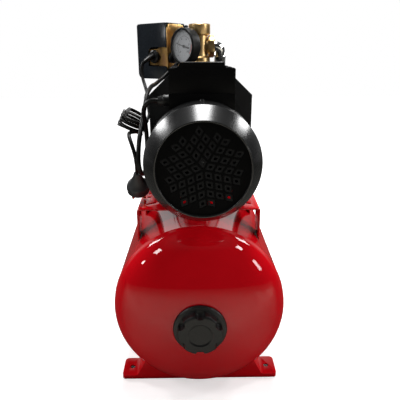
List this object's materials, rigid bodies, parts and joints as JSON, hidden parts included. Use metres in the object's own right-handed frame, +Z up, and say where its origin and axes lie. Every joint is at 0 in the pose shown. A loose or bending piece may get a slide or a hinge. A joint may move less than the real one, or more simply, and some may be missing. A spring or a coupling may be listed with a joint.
{
  "type": "booster pump set",
  "caption": "Electric jet pump bracketed on a horizontal pressure tank, with five-way outlet fitting, gauge, pressure switch, braided hose and mains cord.",
  "frame": {"origin": "middle of the set's footprint, on the floor under the feet", "axes": "+Z up, -Y towards the fan end of the motor and the tank's valve cap, +X towards the side with the hose"},
  "size_m": [0.27, 0.534, 0.5895],
  "materials": {
    "red_paint": "high gloss red paint on steel sheet",
    "black_casting": "black paint on rough casting",
    "black_aluminium": "black paint on a finned extrusion",
    "black_plastic": "glossy black moulding",
    "grey_plastic": "dull dark grey moulding",
    "brass": "machined brass",
    "chrome": "nickel plate",
    "steel": "zinc plate or bright steel",
    "passivated_steel": "yellow passivated zinc",
    "rubber": "matte black",
    "winding_copper": null,
    "white_dial": "white dial card",
    "glass": "clear lens",
    "carbon": "seal carbon"
  },
  "bodies": {
    "pump_set": {"tank_shell": "red_paint", "front_foot": "red_paint", "rear_foot": "red_paint", "pump_bracket": "red_paint", "bladder": "rubber", "tank_flange": "steel", "air_valve": "brass", "motor_housing": "black_aluminium", "fan_end_shield": "black_aluminium", "motor_adaptor": "black_casting", "front_bearing": "steel", "rear_bearing": "steel", "stator_core": "steel", "stator_windings": "winding_copper", "fan_cowl": "black_plastic", "terminal_box_base": "black_plastic", "terminal_box_cover": "black_plastic", "box_cable_gland": "black_plastic", "terminal_block": "grey_plastic", "capacitor": "grey_plastic", "pump_casing": "black_casting", "casing_o_ring": "rubber", "diffuser": "grey_plastic", "ejector": "grey_plastic", "seal_seat": "carbon", "drain_plug": "brass", "mounting_bolt_left": "steel", "mounting_bolt_right": "steel", "outlet_fitting": "brass", "union_nut": "brass", "hose_elbow_top": "chrome", "hose_elbow_bottom": "chrome", "braided_hose": "chrome", "gauge_stem": "brass", "gauge_case": "black_plastic", "gauge_lens": "glass", "gauge_dial": "white_dial", "gauge_vent_plug": "black_plastic", "switch_base": "passivated_steel", "switch_port_nut": "passivated_steel", "contact_block": "grey_plastic", "range_spring": "steel", "mains_gland": "black_plastic", "lead_gland": "black_plastic", "motor_lead": "rubber", "mains_cord_upper": "rubber", "mains_cord_hank": "rubber", "mains_cord_lower": "rubber", "cord_tie": "black_plastic", "mains_plug": "black_plastic"},
    "rotor": {"rotor_shaft": "steel", "rotor_core": "steel", "cooling_fan": "grey_plastic", "impeller": "brass", "seal_ring": "steel"},
    "needle": {"gauge_needle": "black_plastic"},
    "cap": {"valve_cap": "black_plastic"},
    "hood": {"switch_cover": "black_plastic"},
    "filler": {"priming_plug": "brass"}
  },
  "joints": [
    {"name": "rotor_spin", "type": "hinge", "parent": "pump_set", "child": "rotor", "pos_m": [0.005, -0.119, 0.3915], "axis": [0, 1, 0], "continuous": true},
    {"name": "needle_turn", "type": "hinge", "parent": "pump_set", "child": "needle", "pos_m": [-0.02352, 0.0333, 0.5465], "axis": [-0.7314, -0.682, 0], "range_deg": [-205, 60]},
    {"name": "cap_pull", "type": "slide", "parent": "pump_set", "child": "cap", "axis": [0, -1, 0], "range_m": [0, 0.03]},
    {"name": "hood_pull", "type": "slide", "parent": "pump_set", "child": "hood", "axis": [-0.766, 0.6428, 0], "range_m": [0, 0.08]},
    {"name": "filler_lift", "type": "slide", "parent": "pump_set", "child": "filler", "axis": [0, 0, 1], "range_m": [0, 0.03]}
  ]
}
